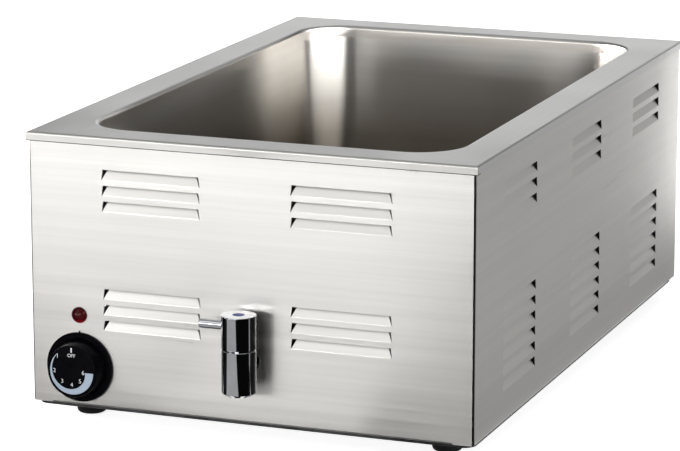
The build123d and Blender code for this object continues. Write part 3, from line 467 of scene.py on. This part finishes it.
def grained(name, dark, light, rough, grain, depth, sheen=0.0, shine=0.5):
    """A moulded surface with a fine grain, such as rubber or plastic."""
    finish, tree, shader = new_finish(name)
    surface = placed(tree, moulded_grain, Grain_scale=grain)
    settings(
        shader,
        Base_Color=shaded(tree, surface["Dust"], (thin_dust, dark), (thick_dust, light)),
        Roughness=ranged(tree, surface["Pits"], *rough, usual_low, usual_high),
        Normal=raised(tree, surface["Pits"], depth, pit_strength),
        Sheen_Weight=sheen,
        Specular_IOR_Level=shine,
    )
    return finish


black_rubber = grained(
    "Black rubber",
    dark=(0.004, 0.004, 0.004),
    light=(0.010, 0.010, 0.010),
    rough=(0.62, 0.82),
    grain=1500.0,
    depth=0.00004,
    shine=0.1,
)
dress(black_rubber, "foot_front_left", "foot_front_right", "foot_rear_left", "foot_rear_right")
dress(black_rubber, "drain_gasket", "tap_washer", "gland_seal")


# Heating under the tank
# A bare aluminium spreader, a tubular element browned by heat, and a pad of white ceramic fibre.
# The element is clamped up against the spreader, and the shield below holds the pad.

def rolled_aluminium():
    """Bare sheet with the fine lines of the rolling mill."""
    finish, tree, shader = new_finish("Rolled aluminium")
    marks = placed(tree, brush_marks, Wall_scale=(2.0, 2.0, 200.0), Flat_scale=(200.0, 2.0, 2.0))
    lines = marks["Lines"]
    tints = (usual_low, (0.70, 0.71, 0.72)), (usual_high, (0.80, 0.81, 0.82))
    settings(
        shader,
        Base_Color=shaded(tree, lines, *tints),
        Metallic=1.0,
        Roughness=ranged(tree, lines, 0.34, 0.44),
    )
    return finish


def heated_sheath():
    """Steel tube that heat has tinted brown, grey and blue."""
    finish, tree, shader = new_finish("Heat browned sheath")
    heat = noise(tree, surface_place(tree), 14.0, detail=4.0)
    tints = (usual_low, (0.16, 0.12, 0.09)), (0.5, (0.24, 0.21, 0.20)), (usual_high, (0.17, 0.18, 0.24))
    settings(
        shader,
        Base_Color=shaded(tree, heat, *tints),
        Metallic=1.0,
        Roughness=ranged(tree, heat, 0.4, 0.65),
    )
    return finish


ceramic_fibre = grained(
    "Ceramic fibre",
    dark=(0.74, 0.72, 0.67),
    light=(0.88, 0.86, 0.82),
    rough=(0.85, 1.0),
    grain=420.0,
    depth=0.0006,
    sheen=0.3,
)
dress(rolled_aluminium(), "heat_spreader")
dress(heated_sheath(), "heating_element")
dress(ceramic_fibre, "insulation_blanket")


# Thermostat, its bulb and the lamp's body
# Moulded black cases behind the front panel, and a copper bulb on a thin copper tube.
# The thermostat is screwed through the bezel and the panel.

def make_tarnish():
    """Patches of tarnish on brass or copper."""
    group, given, result = effect("Tarnish", {"Scale": "NodeSocketFloat"}, {"Patches": "NodeSocketFloat"})
    patches = noise(group, surface_place(group), given.outputs["Scale"], detail=4.0, roughness=0.6)
    settings(result, Patches=patches)
    return group


tarnish = make_tarnish()
tarnished = 0.35
bright = 0.65


def warm_metal(name, dark, light, rough):
    """Brass or copper, a little tarnished."""
    finish, tree, shader = new_finish(name)
    patches = placed(tree, tarnish, Scale=45.0)["Patches"]
    settings(
        shader,
        Base_Color=shaded(tree, patches, (tarnished, dark), (bright, light)),
        Metallic=1.0,
        Roughness=ranged(tree, patches, *rough, usual_low, usual_high),
    )
    return finish


copper = warm_metal("Copper", (0.60, 0.29, 0.17), (0.78, 0.42, 0.28), rough=(0.38, 0.26))
dress(copper, "thermostat_bulb", "capillary_tube")
brass = warm_metal("Brass", (0.62, 0.45, 0.20), (0.78, 0.60, 0.30), rough=(0.36, 0.22))
dress(brass, "drain_elbow", "tap_gland_nut", "tap_lock_nut", "valve_plug")
dress(brass, "terminal_inserts", "bonding_stud", "bonding_nuts")
moulded_black = grained(
    "Moulded black plastic",
    dark=(0.014, 0.014, 0.015),
    light=(0.030, 0.030, 0.031),
    rough=(0.38, 0.52),
    grain=1800.0,
    depth=0.00003,
)
dress(moulded_black, "thermostat_body", "high_limit_switch", "lamp_body", "lamp_nut")
dress(moulded_black, "gland_body", "gland_dome_nut", "gland_lock_nut")


# Knob and bezel
# Gloss black mouldings: a round bezel with a pointer at its top, and a dial knob on the thermostat's shaft.
# The knob's face is printed in white from OFF to 6, with a pale band that widens as the heat rises.

gloss_black = grained(
    "Gloss black plastic",
    dark=(0.0015, 0.0015, 0.002),
    light=(0.004, 0.004, 0.006),
    rough=(0.14, 0.20),
    grain=2600.0,
    depth=0.000004,
    shine=0.04,
)
dress(gloss_black, "knob_bezel", "control_knob")

print_rise = 0.00006
knob_low, knob_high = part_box("control_knob")
dial_centre = Vector(((knob_low.x + knob_high.x) / 2, knob_low.y, (knob_low.z + knob_high.z) / 2))
dial_faces_front = Matrix.Rotation(pi / 2, 4, "X")


def on_dial(shape, name):
    """A flat shape drawn about the dial's centre, given its thickness and set on the knob's face."""
    faces = bmesh.ops.extrude_face_region(shape, geom=shape.faces[:])["geom"]
    top = [v for v in faces if isinstance(v, bmesh.types.BMVert)]
    bmesh.ops.translate(shape, vec=(0, 0, print_rise), verts=top)
    bmesh.ops.recalc_face_normals(shape, faces=shape.faces[:])
    mesh = bpy.data.meshes.new(name)
    shape.to_mesh(mesh)
    shape.free()
    mesh.transform(Matrix.Translation(dial_centre) @ dial_faces_front)
    piece = bpy.data.objects.new(name, mesh)
    bpy.context.scene.collection.objects.link(piece)
    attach(piece, "control_knob")
    return piece


def lettering(shape, text, height, x, y):
    """Adds flat letters of the given height, centred on a point of the dial."""
    letters = bpy.data.curves.new("dial lettering", "FONT")
    letters.body = text
    letters.align_x = "CENTER"
    carrier = bpy.data.objects.new("dial lettering", letters)
    bpy.context.scene.collection.objects.link(carrier)
    flat = bpy.data.meshes.new_from_object(carrier.evaluated_get(bpy.context.evaluated_depsgraph_get()))
    heights = [v.co.y for v in flat.vertices]
    scale = height / (max(heights) - min(heights))
    middle = (max(heights) + min(heights)) / 2
    set_in_place = Matrix.Translation((x, y, 0)) @ Matrix.Scale(scale, 4)
    flat.transform(set_in_place @ Matrix.Translation((0, -middle, 0)))
    shape.from_mesh(flat)
    bpy.data.objects.remove(carrier)
    bpy.data.curves.remove(letters)
    bpy.data.meshes.remove(flat)


figure_height = 0.0033
figure_radii = (0.0168, 0.0146, 0.0115, 0.0104, 0.0100, 0.0098)
figure_step = 45
dial_top = 90
off_height = 0.0027
off_radius = 0.0129
tick_radius = 0.0172
tick_width = 0.0011
tick_height = 0.0037

dial_figures = bmesh.new()
for number, radius in enumerate(figure_radii, start=1):
    around = radians(dial_top + figure_step * number)
    lettering(dial_figures, str(number), figure_height, radius * cos(around), radius * sin(around))
lettering(dial_figures, "OFF", off_height, 0, off_radius)
corners = [(-1, -1), (1, -1), (1, 1), (-1, 1)]
tick = [
    dial_figures.verts.new((x * tick_width / 2, tick_radius + y * tick_height / 2, 0)) for x, y in corners
]
dial_figures.faces.new(tick)


def dial_ink(name, dark, light):
    """Printing ink, flatter than the gloss plastic under it."""
    return grained(name, dark, light, rough=(0.45, 0.6), grain=3000.0, depth=0.000004)


white_print = dial_ink("White dial print", (0.60, 0.61, 0.63), (0.70, 0.71, 0.73))
on_dial(dial_figures, "dial_figures").data.materials.append(white_print)

band_radius = 0.0183
band_start = radians(131)
band_end = radians(360)
band_thin = 0.0003
band_wide = 0.0069
band_steps = 48

heat_band = bmesh.new()
rims = []
for step in range(band_steps + 1):
    share = step / band_steps
    around = band_start + (band_end - band_start) * share
    inner = band_radius - band_thin - (band_wide - band_thin) * share
    outward = Vector((cos(around), sin(around), 0))
    rims.append((heat_band.verts.new(outward * band_radius), heat_band.verts.new(outward * inner)))
for (outer_a, inner_a), (outer_b, inner_b) in zip(rims, rims[1:]):
    heat_band.faces.new((outer_a, outer_b, inner_b, inner_a))
pale_print = dial_ink("Pale dial print", (0.32, 0.39, 0.48), (0.37, 0.44, 0.54))
on_dial(heat_band, "dial_heat_band").data.materials.append(pale_print)


# Pilot lamp
# A domed lens moulded in deep red plastic, with painted light: a brighter red along its lower rim, where
# light would pass through.
# It is pushed through the panel and held by a nut behind it.

lens_low, lens_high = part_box("lamp_lens")
# Painted light: the lens's red brightens towards its lower rim.
lens_red_and_painted_glow = (
    (0.05, (0.42, 0.012, 0.02)),
    (0.2, (0.22, 0.006, 0.012)),
    (0.32, (0.05, 0.001, 0.003)),
    (1.0, (0.035, 0.001, 0.002)),
)
lens_cloudiness = 0.08


def lamp_glass():
    """Deep red plastic, with a brighter red painted along its lower rim as painted light."""
    finish, tree, shader = new_finish("Red lamp lens")
    place = surface_place(tree)
    cloud = noise(tree, place, 500.0)
    height = ranged(tree, parts(tree, place)["Z"], 0.0, 1.0, lens_low.z, lens_high.z)
    rise = maths(tree, "MULTIPLY_ADD", cloud, lens_cloudiness, height)
    settings(
        shader,
        Base_Color=shaded(tree, rise, *lens_red_and_painted_glow),
        Roughness=ranged(tree, cloud, 0.14, 0.2),
        Specular_IOR_Level=0.2,
    )
    return finish


dress(lamp_glass(), "lamp_lens")


# Drain and tap
# Chrome plated brass: a plug tap on a shank through the panel, with a lever rod at its side and a blue cap.
# The drain's flange and strainer sit in the tank's floor.

def bright_chrome():
    """Polished chrome with the faint smears of a wiping cloth."""
    finish, tree, shader = new_finish("Chrome")
    wipe = noise(tree, surface_place(tree), 70.0, detail=4.0, distortion=0.5)
    tints = (usual_low, (0.60, 0.61, 0.63)), (usual_high, (0.67, 0.68, 0.70))
    settings(
        shader,
        Base_Color=shaded(tree, wipe, *tints),
        Metallic=1.0,
        Roughness=ranged(tree, wipe, 0.03, 0.09, usual_low, usual_high),
    )
    return finish


blue_cap = grained(
    "Blue cap plastic",
    dark=(0.02, 0.035, 0.26),
    light=(0.03, 0.05, 0.36),
    rough=(0.3, 0.4),
    grain=2600.0,
    depth=0.000006,
    shine=0.15,
)
dress(bright_chrome(), "tap_body", "tap_flange", "tap_handle", "tap_lever_rod", "drain_fitting")
dress(blue_cap, "tap_index_disc")


# Electrics at the rear
# A glazed ceramic terminal block on the base plate, and sleeved wires in several colours.
# The wires run under the tank to the element, the thermostat, the lamp and the switch.

sleeve_colours = (
    (0.16, 0.06, 0.03),
    (0.03, 0.07, 0.24),
    (0.05, 0.22, 0.05),
    (0.02, 0.02, 0.02),
    (0.30, 0.04, 0.03),
)


def wire_sleeves():
    """Each wire takes one of the sleeve colours."""
    finish, tree, shader = new_finish("Wire sleeves")
    chance = tree.nodes.new("ShaderNodeNewGeometry").outputs["Random Per Island"]
    stops = [(i / len(sleeve_colours), colour) for i, colour in enumerate(sleeve_colours)]
    sleeve = shaded(tree, chance, *stops)
    sleeve.node.color_ramp.interpolation = "CONSTANT"
    scuffs = noise(tree, surface_place(tree), 300.0)
    settings(shader, Base_Color=sleeve, Roughness=ranged(tree, scuffs, 0.4, 0.55))
    return finish


glazed_ceramic = grained(
    "Ceramic",
    dark=(0.78, 0.76, 0.71),
    light=(0.88, 0.86, 0.82),
    rough=(0.28, 0.42),
    grain=300.0,
    depth=0.00003,
)
dress(wire_sleeves(), "wiring")
dress(glazed_ceramic, "terminal_block")


# Stage
# A white floor that keeps a soft shadow, in a studio with a bright horizon, dark walls and a dim ceiling.
# A round softbox lights the right side, and boards light the front, the left, the well and the back.
# Cloths on the floor and flags that stand on it show only in the steel, as its light and dark fields.

def lit_surface(name, brightness):
    """A plain stage surface of a given brightness."""
    finish, _, shader = new_finish(name)
    settings(shader, Base_Color=(0.0, 0.0, 0.0, 1.0), Roughness=1.0, Specular_IOR_Level=0.0)
    settings(shader, Emission_Color=(1.0, 1.0, 1.0, 1.0), Emission_Strength=brightness)
    return finish


def stage_piece(name, points, finish, only_in_steel=False):
    """A flat piece of the stage, which the camera may not see."""
    mesh = bpy.data.meshes.new(name)
    mesh.from_pydata(points, [], [range(len(points))])
    mesh.materials.append(finish)
    piece = bpy.data.objects.new(name, mesh)
    if only_in_steel:
        piece.visible_camera = False
        piece.visible_diffuse = False
        piece.visible_shadow = False
        piece.visible_transmission = False
    bpy.context.scene.collection.objects.link(piece)
    return piece


floor_colour = (0.88, 0.88, 0.88, 1.0)
floor_glow = 0.82
floor_reach = 30.0


def white_floor():
    """A matt white floor, whose glow shows to the camera and in the steel but lights nothing."""
    finish, tree, shader = new_finish("White floor")
    light_path = tree.nodes.new("ShaderNodeLightPath").outputs
    seen = maths(tree, "MAXIMUM", light_path["Is Camera Ray"], light_path["Is Glossy Ray"])
    seen = maths(tree, "MAXIMUM", seen, light_path["Is Transmission Ray"])
    settings(shader, Base_Color=floor_colour, Roughness=0.9, Specular_IOR_Level=0.0)
    settings(shader, Emission_Color=(1.0, 1.0, 1.0, 1.0))
    settings(shader, Emission_Strength=ranged(tree, seen, 0.0, floor_glow))
    return finish


floor_points = [(x * floor_reach, y * floor_reach, cad_low.z) for x, y in corners]
stage_piece("floor", floor_points, white_floor())


def cloth(name, brightness, *outline, lift=0.0006):
    """A piece of cloth on the floor, which shows only in the steel."""
    points = [(x, y, lift) for x, y in outline]
    stage_piece(name, points, lit_surface(name, brightness), only_in_steel=True)


def away(start, bearing, depth):
    """A point on the floor, along a bearing from a start, at a depth towards the front."""
    return start + Vector((sin(radians(bearing)) / cos(radians(bearing)), -1.0)) * depth


cloth_reach = 2.6
casing_side = 0.19
casing_front = -0.28
casing_back = 0.30
right_front = Vector((casing_side, casing_front))
left_front = Vector((-casing_side, casing_front))
right_back = Vector((casing_side, casing_back))
left_back = Vector((-casing_side, casing_back))

pale_right = Vector((0.08, casing_front))
pale_left = Vector((-0.02, casing_front))
pale_right_bearing = -8
pale_left_bearing = -54
pale_right_end = away(pale_right, pale_right_bearing, cloth_reach)
pale_left_end = away(pale_left, pale_left_bearing, cloth_reach)
right_edge = Vector((cloth_reach, casing_front))
right_end = Vector((cloth_reach, pale_right_end.y))
left_edge = Vector((-2 * cloth_reach, casing_front))
left_end = Vector((-2 * cloth_reach, pale_left_end.y))
cloth("pale_cloth", 0.45, pale_right, pale_right_end, pale_left_end, pale_left)
cloth("black_cloth", 0.003, pale_right, pale_right_end, right_end, right_edge, right_front)
cloth("dark_cloth", 0.012, pale_left, pale_left_end, left_end, left_edge, left_front)

strip_front = Vector((0.25, -0.30))
strip_back = Vector((0.25, 0.50))
strip_corner = Vector((casing_side, strip_back.y))
back_right = Vector((strip_back.x, cloth_reach))
back_left = Vector((-cloth_reach, cloth_reach))
beside_back = Vector((-cloth_reach, casing_back))
beside_front = Vector((-cloth_reach, casing_front))
cloth("right_cloth", 0.30, right_front, strip_front, strip_back, strip_corner)
cloth("back_cloth", 0.38, right_back, strip_back, back_right, back_left, beside_back)
cloth("left_cloth", 0.38, left_back, beside_back, beside_front, left_front)

edge_front = -0.325
edge_right = Vector((casing_side, edge_front))
edge_left = Vector((-casing_side, edge_front))
cloth("edge_cloth", 0.01, left_front, right_front, edge_right, edge_left, lift=0.0012)


def flag(name, start, end, height, brightness=0.003):
    """A board standing on the floor, dark if no brightness is given, which keeps light off the steel."""
    points = [(*start, 0.0), (*end, 0.0), (*end, height), (*start, height)]
    board = stage_piece(name, points, lit_surface(name, brightness), only_in_steel=True)
    board.visible_shadow = True


flag_height = 0.30
flag_fold = (0.20, -0.65)
flag("right_flag", (0.32, -0.285), flag_fold, flag_height)
flag("front_flag", flag_fold, (0.14, -0.68), flag_height)
flag("left_flag", (-0.245, -0.36), (-0.26, -0.24), height=0.22)
flag("side_board", strip_front, strip_back, height=0.245, brightness=0.40)

horizon_light = (1.0, 1.0, 1.0)
wall_light = (0.06, 0.06, 0.06)
ceiling_light = (0.40, 0.40, 0.40)
studio_rise = (
    (0.0, horizon_light),
    (0.07, horizon_light),
    (0.12, wall_light),
    (0.6, wall_light),
    (0.85, ceiling_light),
)
studio = bpy.data.worlds.new("Studio")
studio.use_nodes = True
bpy.context.scene.world = studio
studio_tree = studio.node_tree
studio_tree.nodes.clear()
outlook = studio_tree.nodes.new("ShaderNodeTexCoord").outputs["Generated"]
studio_light = studio_tree.nodes.new("ShaderNodeBackground")
studio_colour = shaded(studio_tree, parts(studio_tree, outlook)["Z"], *studio_rise)
settings(studio_light, Color=studio_colour, Strength=1.0)
studio_output = studio_tree.nodes.new("ShaderNodeOutputWorld")
settings(studio_output, Surface=studio_light.outputs["Background"])


def around_object(bearing, radius, height):
    """A point at a bearing in degrees, from the front towards the right."""
    turn = radians(bearing)
    return Vector((radius * sin(turn), -radius * cos(turn), height))


light_aim = Vector((0, 0, 0.2))


def softbox(name, place, width, height, brightness, shape="RECTANGLE"):
    """A studio light aimed at the object."""
    lamp = bpy.data.lights.new(name, "AREA")
    lamp.shape = shape
    lamp.size = width
    lamp.size_y = height
    fill = pi / 4 if shape == "ELLIPSE" else 1.0
    lamp.energy = brightness * pi * width * height * fill
    carrier = bpy.data.objects.new(name, lamp)
    carrier.location = place
    carrier.rotation_euler = (light_aim - place).to_track_quat("-Z", "Y").to_euler()
    carrier.visible_camera = False
    bpy.context.scene.collection.objects.link(carrier)


softbox("key_softbox", around_object(72, 1.8, 0.50), width=1.8, height=1.2, brightness=19.0, shape="ELLIPSE")
softbox("front_board", around_object(-27, 2.2, 0.32), width=2.7, height=0.14, brightness=12.3)
softbox("low_board", around_object(47, 2.0, 0.50), width=0.55, height=0.3, brightness=16.0)
softbox("fill_board", around_object(28, 2.0, 0.85), width=0.6, height=0.3, brightness=2.5)
softbox("mid_board", around_object(8, 2.0, 0.55), width=0.8, height=0.3, brightness=6.5)
softbox("corner_board", around_object(-34, 2.0, 0.55), width=0.6, height=0.3, brightness=3.0)
softbox("left_board", around_object(-95, 2.2, 0.41), width=2.2, height=0.30, brightness=30.0)
softbox("high_board", around_object(-25, 1.6, 1.2), width=1.4, height=0.9, brightness=0.9)
softbox("back_board", around_object(190, 2.0, 0.7), width=1.8, height=0.8, brightness=0.65)

camera_turn = radians(20.743)
camera_tilt = radians(13.076)
camera_distance = 2.8617
camera_aim = Vector((-0.03263, 0.0, 0.10656))
camera_lens = 180.05
camera_sight = 100.0
back = Vector((sin(camera_turn) * cos(camera_tilt), -cos(camera_turn) * cos(camera_tilt), sin(camera_tilt)))
lens = bpy.data.cameras.new("camera")
lens.lens = camera_lens
lens.clip_end = camera_sight
camera = bpy.data.objects.new("camera", lens)
camera.location = camera_aim + back * camera_distance
camera.rotation_euler = (-back).to_track_quat("-Z", "Y").to_euler()
bpy.context.scene.collection.objects.link(camera)
bpy.context.scene.camera = camera
bpy.context.scene.view_settings.view_transform = "Standard"
